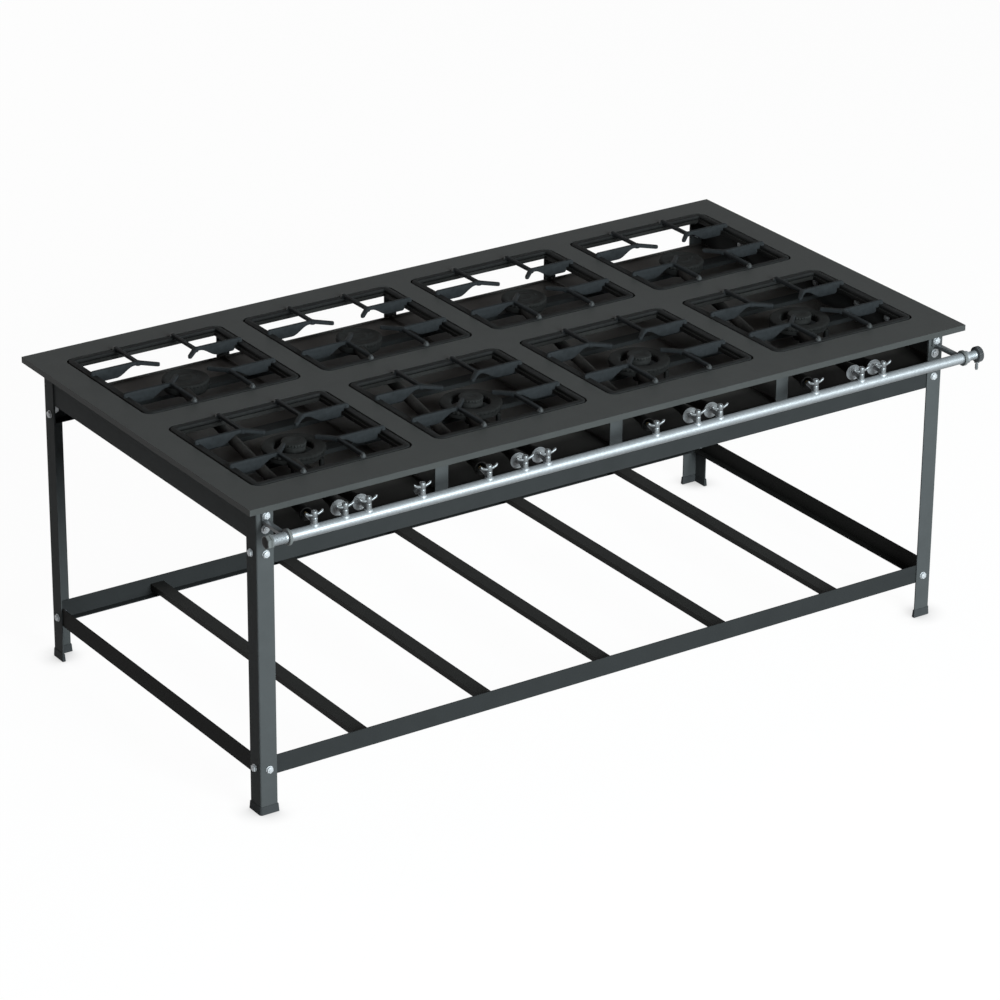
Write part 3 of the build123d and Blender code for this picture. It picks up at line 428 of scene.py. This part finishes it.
def make_grate_mesh():
    """One grate about its own centre: a frame joined with fins, bosses and fingers, in three finishes: cast iron, a
    darker copy on the frame band as painted shade, and a lighter copy on the front and back noses as painted
    highlight.
    """
    frame_bm, arms = bmesh.new(), bmesh.new()
    half = GRATE_BAR / 2
    section = [(0, GRATE_Z + 1), (0, FRAME_TOP - 0.9), (0.9, FRAME_TOP), (15.1, FRAME_TOP), (16, FRAME_TOP - 0.9),
               (16, GRATE_Z + 1), (15, GRATE_Z), (1, GRATE_Z)]
    loops = []
    for d, z in section:
        outline = rounded(GRATE_W - 2 * d, GRATE_D - 2 * d, max(GRATE_R - d, 3), 6)
        loops.append([Vector((p.x, p.y, z)) for p in outline])
    loft(frame_bm, loops, ring=True)
    for i in (1, -1):
        for j in (1, -1):
            across, deep = GRATE_W / 2 - FIN_INSET, GRATE_D / 2 - FIN_INSET
            for outer, outline, way in ((across, fin_outline(across, FIN_NOTCH), Vector((i, 0, 0))),
                                        (deep, slim_outline(deep), Vector((0, j, 0)))):
                side = Vector((0, j, 0)) if way.x else Vector((i, 0, 0))
                place = Matrix((way, UP, way.cross(UP))).transposed().to_4x4()
                slab(arms, outline, -FIN_T / 2, FIN_T / 2, 2.2,
                     Matrix.Translation(side * FIN_OFFSET) @ place)
                lathe(arms, [(0, GRATE_Z + 2), (7.5, GRATE_Z + 2), (7.5, FRAME_TOP + 1), (6.6, FRAME_TOP + 4),
                             (4.2, FRAME_TOP + 6.3), (0, FRAME_TOP + 7)],
                      Matrix.Translation(side * FIN_OFFSET + way * (outer - half + 1)), 16)
            corner = Vector((i * FIN_OFFSET, j * FIN_OFFSET, 0))
            lathe(arms, [(0, FIN_TOP - 11), (7, FIN_TOP - 11), (7.6, FIN_TOP - 9.5), (7.6, FIN_TOP - 2.2),
                         (5.6, FIN_TOP - 0.2), (0, FIN_TOP - 0.2)], Matrix.Translation(corner), 16)
            reach = math.sqrt(2) * (FIN_OFFSET - FINGER_END)
            inwards = Vector((-i, -j, 0)).normalized()
            outline = [Vector(p) for p in ((-3, -6), (reach - 5, -5.2), (reach - 1.5, -3.8), (reach, 0),
                                           (reach - 1.5, 3.8), (reach - 5, 5.2), (-3, 6))]
            slab(arms, outline, FIN_TOP - FIN_THIN + 0.6, FIN_TOP - 0.1, 2.4,
                 Matrix.Translation(corner) @ Matrix((inwards, UP.cross(inwards), UP)).transposed().to_4x4())
    body = bpy.data.objects.new("grate_frame", to_mesh("grate_frame", frame_bm, Vector()))
    tool = bpy.data.objects.new("grate_arms", to_mesh("grate_arms", arms, Vector()))
    for obj in (body, tool):
        bpy.context.scene.collection.objects.link(obj)
    join = body.modifiers.new("join", "BOOLEAN")
    join.operation, join.solver, join.object, join.use_self = "UNION", "EXACT", tool, True
    cast = bpy.data.meshes.new_from_object(body.evaluated_get(bpy.context.evaluated_depsgraph_get()))
    cast.name = "cast_grate"
    for obj in (body, tool):
        bpy.data.objects.remove(obj)
    cast.materials.clear()
    for face in cast.polygons:
        edge = max(abs(face.center.x) / MM - GRATE_W / 2, abs(face.center.y) / MM - GRATE_D / 2) + GRATE_BAR
        raised = face.center.z > (FRAME_TOP + 0.2) * MM
        # Raised faces near the front and back edges get the lighter copy: a painted highlight
        nose = raised and abs(face.center.y) / MM > GRATE_D / 2 - HIGHLIGHT_REACH
        face.material_index = 0 if edge < -1 else 2 if nose else int(not raised)
    return cast


def make_grates():
    """The same casting in all eight openings."""
    cast = make_grate_mesh()
    for row, y in (("front", FRONT_ROW), ("back", BACK_ROW)):
        for i, x in enumerate(COLUMN_X):
            node = f"grate_{row}_{i + 1}"
            piece(f"cast_{node}", cast, ["cast_grate", "cast_frame_painted_shade", "cast_nose_painted_highlight"], node, node,
                  spot(x, y), 50)


# Burners
SCREW_R = 4.2


def mixing_tube(bm, mouth, entry):
    """A cast tube with a flared mouth and a narrow throat."""
    length = (entry - mouth).length
    profile = [(0, 34), (9.5, 34), (10.5, 14), (13.4, 1.2), (14.8, 0), (16.4, 0.6), (16.8, 2.4), (15.6, 7),
               (13.6, 17), (12.2, 34), (12.2, 46), (13, 90), (13, length), (0, length)]
    lathe(bm, profile, along(mouth, entry - mouth), 24, finish=1)


def tube_pad(bm, mouth, entry, bar_y):
    """A foot under a tube where it crosses a bar."""
    share = (bar_y - mouth.y) / (entry.y - mouth.y)
    at = mouth.lerp(entry, share)
    slab(bm, rounded(16, 18, 4, x=at.x, y=bar_y), BAR_TOP, at.z - 9, 1)
    slab(bm, rounded(24, 20, 5, x=at.x, y=bar_y), BAR_TOP, BAR_TOP + 4, 1)


def screw(bm, x, y, z):
    """A round screw head."""
    r = SCREW_R
    lathe(bm, [(0, z - 1), (r, z - 1), (r, z + 0.6), (r * 0.8, z + 1.6), (r * 0.4, z + 2.1), (0, z + 2.2)],
          Matrix.Translation((x, y, 0)), 14)


def make_burners():
    """Rings, the inner burners that stand a little higher, and the back row's heads, each with its tube."""
    bm = bmesh.new()
    section = [(71, 755.2), (72.5, 756.6), (72.5, 764.5), (70.5, 766), (70.5, 767.5), (74.6, 768), (76, 769.2),
               (76, 773), (75, 775.4), (72.5, 776.8), (70, 777), (54, 777), (51, 776.6), (48.4, 775.2), (47.2, 773),
               (47.2, 769.2), (48.6, 768), (52, 767.5), (52, 766), (50, 764.5), (50, 756.6), (51.5, 755.2)]
    for column, valve, way, mouth, entry in feeds("ring"):
        middle_x = column + FRONT_SHIFT
        lathe(bm, section, Matrix.Translation((middle_x, FRONT_ROW, 0)), 120, True,
              cut=(((5, 6, 7), 3, 2.4), ((14, 15, 16), 5, -2.2)))
        for i in (-1, 1):
            for j in (-1, 1):
                x, y = middle_x + i * 38, FRONT_ROW + j * 62
                slab(bm, rounded(11, 11, 3, x=x, y=y), BAR_TOP, 759, 1)
                slab(bm, rounded(20, 18, 5, x=x, y=y), BAR_TOP, BAR_TOP + 4, 1)
            screw(bm, middle_x + i * 62, FRONT_ROW, BURNER_TOP - 2.4)
        mixing_tube(bm, mouth, entry)
    fixed("ring_burner_castings", bm, ["cast_burner", "cast_tube"], "ring_burners")

    bm = bmesh.new()
    section = [(0, 788.2), (9, 788.2), (10.5, 789), (26, 789), (29, 788), (30, 786), (30, 783), (29, 782),
               (26.6, 781.6), (26.6, 780), (29, 779), (29, 764), (26, 760), (16, 756), (14, 751), (14, 723),
               (11, 719.5), (0, 719.5)]
    for column, valve, way, mouth, entry in feeds("centre"):
        middle_x = column + FRONT_SHIFT
        lathe(bm, section, Matrix.Translation((middle_x, FRONT_ROW, 0)), 72, cut=(((5, 6, 7), 3, 2.2),))
        slab(bm, rounded(12, 73, 4, x=middle_x, y=FRONT_ROW + 36.5), BAR_TOP, BAR_TOP + 8, 1.5)
        tube_pad(bm, mouth, entry, BAR_PLACES[0])
        mixing_tube(bm, mouth, entry)
    fixed("centre_burner_castings", bm, ["cast_burner", "cast_tube"], "centre_burners")

    bm = bmesh.new()
    section = [(0, 776), (14, 776), (16, 777), (20, 777), (22, 775.6), (46, 775.6), (48, 777), (52.5, 777),
               (56.4, 775.8), (58, 773.2), (58, 768.4), (56.8, 767), (53.5, 766.6), (53.5, 764.6), (55.6, 763.4),
               (55.6, 751), (52, 746.4), (40, 745), (0, 745)]
    for column, valve, way, mouth, entry in feeds("rear"):
        middle_x = column + REAR_SHIFT
        lathe(bm, section, Matrix.Translation((middle_x, BACK_ROW, 0)), 108, cut=(((9, 10, 11), 3, 2.4),))
        slab(bm, rounded(22, 70, 6, x=middle_x, y=BACK_ROW + 38), 745, 753, 2)
        slab(bm, rounded(20, 22, 5, x=middle_x, y=BAR_PLACES[4]), BAR_TOP, 749, 1.5)
        tube_pad(bm, mouth, entry, BAR_PLACES[3])
        mixing_tube(bm, mouth, entry)
        for i in (-1, 1):
            screw(bm, middle_x + i * 34, BACK_ROW, 775.6)
    fixed("rear_burner_castings", bm, ["cast_burner", "cast_tube"], "rear_burners")


# Gas pipe, valves, handles and air shutters
PIPE_LEFT, PIPE_RIGHT = -1016.5, 974.5
CLAMP_X = 973.5
BOLT_X = 970
THREADS, THREAD_PITCH = 8, 4.6
BRACKET_Z, BRACKET_T = 760, 4
STRAP_LENGTH, STRAP_Y = 85.5, -545.25
NIPPLE_THREADS, NIPPLE_PITCH = 7, 2.2
INLET_X, NOZZLE_X, NOZZLE_DROP = 1013, 1020.5, 18
OUTLET_R, OUTLET_ROOT, OUTLET_PITCH = 4.95, 4.4, 1.5
OUTLET_END, SPARE_END = 47, 20
WING_ROOT, WING_SPAN, WING_RISE, WING_TIP = 3, 20.4, 7.8, 0.9


def make_pipe():
    """The gas pipe with its thread, brackets and collars, lock ring and cap, nipple and inlet fitting."""
    bm = bmesh.new()
    profile = [(10.5, 0)]
    for k in range(THREADS):
        profile += [(12.2, k * THREAD_PITCH + 0.4), (13.45, k * THREAD_PITCH + 2.4)]
    end = PIPE_RIGHT - PIPE_LEFT
    profile += [(PIPE_R, THREADS * THREAD_PITCH + 1.5), (PIPE_R, end - 1), (12.6, end), (10.5, end)]
    lathe(bm, profile, along((PIPE_LEFT, PIPE_Y, PIPE_Z), (1, 0, 0)), 48, True)
    fixed("gas_pipe", bm, ["silver_paint"], "manifold_pipe")

    bm = bmesh.new()
    for i in (-1, 1):
        face = along((i * BOLT_X, -LEG_Y, BRACKET_Z), (0, -1, 0), (1, 0, 0))
        slab(bm, rounded(24, 32, 4), 0, BRACKET_T, 0.8, face)
        strap = Matrix.Translation((i * CLAMP_X, STRAP_Y, PIPE_Z))
        slab(bm, rounded(14, STRAP_LENGTH, 1), -5, 4, 0.7, strap, finish=2)
        weld = along((i * CLAMP_X, -LEG_Y - BRACKET_T - 0.5, PIPE_Z + 2.5), (1, 0, 0))
        lathe(bm, [(0, -7), (2.2, -6), (2.6, 0), (2.2, 6), (0, 7)], weld, 10)
        collar = [(13.6, -3.6), (14.2, -4), (18.3, -4), (19.5, -2.8), (19.5, 2.8), (18.3, 4), (14.2, 4), (13.6, 3.6)]
        lathe(bm, collar, along((i * CLAMP_X, PIPE_Y, PIPE_Z), (1, 0, 0)), 40, True, finish=1)
    fixed("bracket_straps", bm, ["frame_paint", "grey_iron", "strap_zinc"], "pipe_brackets")

    bm = bmesh.new()
    slab(bm, hexagon(30), 0.2, 6, 1.0, along((PIPE_LEFT, PIPE_Y, PIPE_Z), (-1, 0, 0)))
    fixed("pipe_lock_ring", bm, ["grey_iron"], "lock_ring")
    bm = bmesh.new()
    cap = along((PIPE_LEFT - 6, PIPE_Y, PIPE_Z), (-1, 0, 0))
    slab(bm, hexagon(29), 0.3, 9.4, 1.2, cap, finish=1)
    lathe(bm, [(0, 8), (13.4, 8), (13.4, 9.6), (12.4, 10.6), (10.5, 11), (0, 11)], cap, 32)
    fixed("pipe_end_cap", bm, ["cap_iron", "grey_iron"], "end_cap")

    bm = bmesh.new()
    nipple = along((PIPE_RIGHT, PIPE_Y, PIPE_Z), (1, 0, 0))
    profile = [(0, 0), (11.2, 0), (11.2, 4.2), (14.4, 4.2), (15.5, 5.2), (15.5, 12.8), (14.4, 13.9),
               (11.5, 14.2), (11.5, 20)]
    for k in range(NIPPLE_THREADS):
        profile += [(10.8, 20.6 + NIPPLE_PITCH * k), (11.5, 21.6 + NIPPLE_PITCH * k)]
    lathe(bm, profile + [(11.5, 38.4), (0, 38.4)], nipple, 36)
    fixed("inlet_nipple_turned", bm, ["silver_paint"], "inlet_nipple")

    bm = bmesh.new()
    inlet = along((INLET_X, PIPE_Y, PIPE_Z), (1, 0, 0))
    profile = [(0, 0.3), (17.2, 0.3), (19.2, 1.2), (20, 2.4), (20, 12.6), (19.2, 13.8), (17.2, 14.7), (12, 14.7),
               (11, 13.4), (0, 13.4)]
    lathe(bm, profile, inlet, 96, cut=(((2, 3, 4, 5), 4, 1.3),))
    nozzle = along((NOZZLE_X, PIPE_Y, PIPE_Z - NOZZLE_DROP), (0, 0, -1))
    profile = [(0, 0), (6.8, 0), (6.8, 3.4), (6.2, 4), (3.2, 4), (3.2, 8), (4.5, 9), (3.3, 12), (4.5, 13), (3.3, 16),
               (4.5, 17), (3.6, 20.5), (3.2, 22.8), (2.4, 22.8), (2.4, 16), (0, 16)]
    lathe(bm, profile, nozzle, 24, finish=1)
    fixed("inlet_coupling", bm, ["dark_fitting", "plated_valve"], "inlet_fitting")


def make_valves():
    """Thirteen upright valves with level outlets. The spare one's outlet ends in a plug."""
    bm = bmesh.new()
    outlets = [(valve, way, True) for kind in FEEDS for column, valve, way, mouth, entry in feeds(kind)]
    outlets.append((Vector((SPARE_X, PIPE_Y, OUTLET_Z)), Vector((0, 1, 0)), False))
    for valve, way, feeding in outlets:
        upright = Matrix.Translation((valve.x, valve.y, 0))
        foot = [(0, 752), (10.2, 752), (10.4, 759), (9.4, 761.4), (7.5, 762.6), (0, 762.6)]
        lathe(bm, foot, upright, 28, finish=1)
        neck = [(0, 762), (7.5, 762), (7.5, 771), (6.5, 771.7), (6.5, 772.5), (7.5, 773.2), (7.5, 776.6),
                (6.7, 777.7), (3.2, 777.9), (0, 777.9)]
        lathe(bm, neck, upright, 28)
        horn = along(valve, way, (way.y, -way.x, 0))
        slab(bm, hexagon(11.6), 7.2, 15, 0.8, horn)
        length = OUTLET_END if feeding else SPARE_END
        profile = [(0, 6), (OUTLET_R, 6), (OUTLET_R, 16)]
        at = 16.6
        while at < length - 1.4:
            profile += [(OUTLET_ROOT, at), (OUTLET_R, at + 0.7)]
            at += OUTLET_PITCH
        lathe(bm, profile + [(OUTLET_R, length - 0.5), (OUTLET_ROOT, length), (0, length)], horn, 18)
        if not feeding:
            slab(bm, hexagon(14), length, length + 7.6, 1, horn)
    fixed("valve_castings", bm, ["plated_valve", "silver_paint"], "valve_bodies")


def wing_half(start, waist, loss, t):
    """Half a wing's height or depth at share t of its length: a slight waist, then a rounded tip."""
    if t < WING_TIP:
        return start - waist * math.sin(math.pi * t / WING_TIP)
    return start - loss * (t - WING_TIP) * 10


def make_handles():
    """A butterfly handle: a turned hub and two lifted wings, one mesh for all the valves."""
    bm = bmesh.new()
    low = VALVE_TOP + 0.3
    hub = [(0, -9), (2.9, -9), (2.9, 0), (6.6, 0), (7.2, 0.8), (7.2, 12.6), (6.4, 14.4), (4.2, 15), (4, 13.8),
           (2.2, 13.8), (2, 15.8), (0, 16)]
    lathe(bm, [(r, low + h) for r, h in hub], steps=28)
    for i in (-1, 1):
        loops = []
        for k in range(11):
            t = k / 10
            u = WING_ROOT + WING_SPAN * t
            rise = WING_RISE * t * t
            tall, deep = wing_half(4.0, 0.6, 2.2, t), wing_half(3.2, 0.5, 1.6, t)
            loops.append([Vector((i * u, deep * math.cos(a), low + 4.2 + rise + tall * math.sin(a)))
                          for a in (2 * math.pi * s / 14 for s in range(14))])
        loft(bm, loops)
    wing = to_mesh("butterfly_handle", bm, Vector())
    places = sorted([valve.x for kind in FEEDS for column, valve, way, mouth, entry in feeds(kind)] + [SPARE_X])
    for n, x in enumerate(places):
        node = f"valve_handle_{n + 1}"
        piece(f"butterfly_{n + 1}", wing, ["plated_valve"], node, node, spot(x, PIPE_Y), 45)


def make_shutters():
    """A pressed disc with a rolled rim and a boss, one mesh for all of them, drawn with the outlet along +Y."""
    bm = bmesh.new()
    section = [(5.1, 0.9), (5.1, -3.2), (7.8, -3.2), (8.6, -2.6), (8.6, -0.4), (9.4, 0), (12, 0), (12.8, 0.7),
               (16.2, 0.7), (17, 0), (18.2, -0.2), (19, -1.2), (19.8, -0.6), (20, 0.6), (19.4, 1.7), (18.4, 2),
               (9.4, 2), (5.1, 2)]
    lathe(bm, section, along((0, SHUTTER_PLACE, OUTLET_Z), (0, 1, 0)), 48, True)
    disc = to_mesh("air_disc", bm, Vector())
    for kind in ("ring", "centre"):
        for i, (column, valve, way, mouth, entry) in enumerate(feeds(kind)):
            node = f"air_shutter_{kind}_{i + 1}"
            piece(f"air_disc_{kind}_{i + 1}", disc, ["pressed_disc"], node, node,
                  spot(valve.x, valve.y, -math.atan2(way.x, way.y)), 40)


# Bolts and nuts. On a leg's flange each has a height, the sheet inside the leg, and its washer's radius
RAIL_SHEET, SHELF_SHEET = 2, 2.5
WIDE_WASHER, WASHER = 11.5, 9.6
FLANGE_BOLTS = ((725.5, RAIL_SHEET, WIDE_WASHER), (663, RAIL_SHEET, WASHER), (114, SHELF_SHEET, WASHER))
SIDE_BOLT_Y = 476
STUD_X, STUD_Z = 985.5, 747
BOLT_END = 7.0


def nut(bm, start, way, washer):
    """A washer, a nut with softened corners and the bolt's end."""
    place, end = along(start, way), BOLT_END
    lathe(bm, [(0, 0), (washer, 0), (washer, 1.1), (washer - 0.5, 1.6), (0, 1.6)], place, 24)
    slab(bm, hexagon(15), 1.6, end - 1.2, 0.9, place)
    lathe(bm, [(0, end - 1.5), (4, end - 1.5), (4, end - 0.8), (3.2, end - 0.1), (0, end)], place, 16)


def head(bm, start, way):
    """A bolt's head on the inside."""
    slab(bm, hexagon(15.6), 0, 5.8, 0.9, along(start, way))


def make_fastenings():
    """Bolts at the legs and brackets, and the nuts on the burner bars' studs."""
    bm = bmesh.new()
    for i in (-1, 1):
        for j in (-1, 1):
            for z, sheet, washer in FLANGE_BOLTS:
                nut(bm, (i * BOLT_X, j * LEG_Y, z), (0, j, 0), washer)
                head(bm, (i * BOLT_X, j * (LEG_Y - LEG_T - sheet), z), (0, -j, 0))
            for z, sheet, washer in FLANGE_BOLTS[1:]:
                nut(bm, (i * LEG_X, j * SIDE_BOLT_Y, z), (i, 0, 0), washer)
                head(bm, (i * (LEG_X - LEG_T - sheet), j * SIDE_BOLT_Y, z), (-i, 0, 0))
        nut(bm, (i * BOLT_X, -LEG_Y - BRACKET_T, BRACKET_Z), (0, -1, 0), WASHER)
        head(bm, (i * BOLT_X, -LEG_Y + LEG_T + RAIL_SHEET, BRACKET_Z), (0, 1, 0))
        for y in BAR_PLACES:
            nut(bm, (i * STUD_X, y, STUD_Z), (-i, 0, 0), WASHER)
    fixed("fastenings", bm, ["zinc_steel"], "bolts_and_nuts")


# Shoes under the legs: how far each row stands out from the leg, and its height
SHOE_ROWS = ((2.4, 0), (2.95, 0.7), (1.7, 20.4), (1.1, 21), (0.15, 21), (0.15, 3.2))
SHOE_BENDS = 4


def angle_outline(grow):
    """A leg's angle profile, made larger all round, with its outer edge bent."""
    low, arm, thick, r = -grow, LEG_ARM + grow, LEG_T + grow, LEG_BEND + grow
    points = []
    for k in range(SHOE_BENDS + 1):
        a = math.pi * (1 + k / SHOE_BENDS / 2)
        points.append((low + r + r * math.cos(a), low + r + r * math.sin(a)))
    return points + [(arm, low), (arm, thick), (thick, thick), (thick, arm), (low, arm)]


def make_shoes():
    """A tapered cup round the foot of each leg."""
    bm = bmesh.new()
    for i in (-1, 1):
        for j in (-1, 1):
            loft(bm, [[(i * (LEG_X - x), j * (LEG_Y - y), z) for x, y in angle_outline(grow)]
                      for grow, z in SHOE_ROWS])
    fixed("tapered_shoes", bm, ["shoe_plastic"], "foot_shoes")


make_grates()
make_burners()
make_pipe()
make_valves()
make_handles()
make_shutters()
make_fastenings()
make_shoes()


def aim(obj, place, target):
    """Put an object in its place and turn it towards a target."""
    obj.location = place
    obj.rotation_euler = (Vector(target) - Vector(place)).to_track_quat("-Z", "Y").to_euler()


def lamp(name, place, target, size, watts, colour):
    """A square soft box."""
    data = bpy.data.lights.new(name, "AREA")
    data.shape = "SQUARE"
    data.size = size
    data.energy = watts
    data.color = colour
    made = bpy.data.objects.new(name, data)
    bpy.context.scene.collection.objects.link(made)
    aim(made, place, target)


def seen_directly(tree):
    """One for camera, glossy and transmission rays, nought for the rest."""
    path = node_in(tree, "ShaderNodeLightPath", -900)
    both = node_in(tree, "ShaderNodeMath", -700, operation="MAXIMUM")
    all_three = node_in(tree, "ShaderNodeMath", -500, operation="MAXIMUM")
    tree.links.new(path.outputs["Is Camera Ray"], both.inputs[0])
    tree.links.new(path.outputs["Is Glossy Ray"], both.inputs[1])
    tree.links.new(both.outputs["Value"], all_three.inputs[0])
    tree.links.new(path.outputs["Is Transmission Ray"], all_three.inputs[1])
    return all_three.outputs["Value"]


def make_world():
    """Seen directly, white round the horizon under a dim ceiling. For soft light, an even fill."""
    world = bpy.data.worlds.new("studio")
    world.use_nodes = True
    tree = world.node_tree
    tree.nodes.clear()
    place = node_in(tree, "ShaderNodeTexCoord", -1100, -300)
    split = node_in(tree, "ShaderNodeSeparateXYZ", -900, -300)
    ramp = node_in(tree, "ShaderNodeValToRGB", -650, -300)
    ramp.color_ramp.elements[0].position = HORIZON_TOP
    ramp.color_ramp.elements[0].color = (1, 1, 1, 1)
    ramp.color_ramp.elements[1].position = CEILING_START
    ramp.color_ramp.elements[1].color = CEILING
    fill = node_in(tree, "ShaderNodeBackground", -300, 100, Color=WORLD_TINT + (1.0,), Strength=WORLD_FILL)
    white = node_in(tree, "ShaderNodeBackground", -300, -100, Strength=1.0)
    mix = node_in(tree, "ShaderNodeMixShader")
    out = node_in(tree, "ShaderNodeOutputWorld", 200)
    link = tree.links.new
    link(place.outputs["Generated"], split.inputs["Vector"])
    link(split.outputs["Z"], ramp.inputs["Fac"])
    link(ramp.outputs["Color"], white.inputs["Color"])
    link(seen_directly(tree), mix.inputs["Fac"])
    link(fill.outputs[0], mix.inputs[1])
    link(white.outputs[0], mix.inputs[2])
    link(mix.outputs[0], out.inputs["Surface"])
    bpy.context.scene.world = world


def make_floor():
    """A pale floor: white where it is seen, with faint shadows and a painted shade at the feet, and a quiet grey for
    the light it throws back.
    """
    corners = [(i * FLOOR_HALF, j * FLOOR_HALF, 0) for i, j in ((-1, -1), (1, -1), (1, 1), (-1, 1))]
    data = bpy.data.meshes.new("floor")
    data.from_pydata(corners, [], [(0, 1, 2, 3)])
    floor = bpy.data.objects.new("floor", data)
    bpy.context.scene.collection.objects.link(floor)
    made = bpy.data.materials.new("floor")
    made.use_nodes = True
    tree = made.node_tree
    tree.nodes.clear()
    white = node_in(tree, "ShaderNodeEmission", -500, 200, Color=(1, 1, 1, 1))
    # Painted shade: ambient occlusion dims the floor's white near the feet
    contact = node_in(tree, "ShaderNodeAmbientOcclusion", -900, 300, samples=16, Distance=CONTACT_REACH)
    dimmed = node_in(tree, "ShaderNodeMapRange", -700, 300, To_Min=CONTACT_SHADE)
    shade = node_in(tree, "ShaderNodeBsdfDiffuse", -500, 50, Color=(1, 1, 1, 1))
    seen = node_in(tree, "ShaderNodeMixShader", -250, 100, Fac=FLOOR_SHADE)
    bounce = node_in(tree, "ShaderNodeBsdfDiffuse", -250, -100, Color=(FLOOR_BOUNCE,) * 3 + (1,))
    mix = node_in(tree, "ShaderNodeMixShader")
    out = node_in(tree, "ShaderNodeOutputMaterial", 200)
    link = tree.links.new
    link(contact.outputs["AO"], dimmed.inputs["Value"])
    link(dimmed.outputs["Result"], white.inputs["Strength"])
    link(white.outputs[0], seen.inputs[1])
    link(shade.outputs[0], seen.inputs[2])
    link(seen_directly(tree), mix.inputs["Fac"])
    link(bounce.outputs[0], mix.inputs[1])
    link(seen.outputs[0], mix.inputs[2])
    link(mix.outputs[0], out.inputs["Surface"])
    data.materials.append(made)


def make_camera():
    """The photograph's view."""
    data = bpy.data.cameras.new("camera")
    data.lens = CAMERA_LENS
    data.sensor_width = CAMERA_SENSOR
    data.clip_end = CAMERA_REACH
    made = bpy.data.objects.new("camera", data)
    bpy.context.scene.collection.objects.link(made)
    az, el, roll = (math.radians(a) for a in (CAMERA_AZIMUTH, CAMERA_ELEVATION, CAMERA_ROLL))
    back = Vector((math.sin(az) * math.cos(el), -math.cos(az) * math.cos(el), math.sin(el)))
    right = Vector((math.cos(az), math.sin(az), 0))
    up = back.cross(right)
    turned = Matrix((right, up, back)).transposed() @ Matrix.Rotation(roll, 3, "Z")
    made.matrix_world = Matrix.Translation(CAMERA_PLACE) @ turned.to_4x4()
    bpy.context.scene.camera = made


make_world()
make_floor()
make_camera()
middle = (cad_low + cad_high) / 2
for name, (place, size, watts, colour) in LAMPS.items():
    lamp(name, middle + Vector(place), middle, size, watts, colour)

bpy.context.scene.view_settings.view_transform = "Standard"
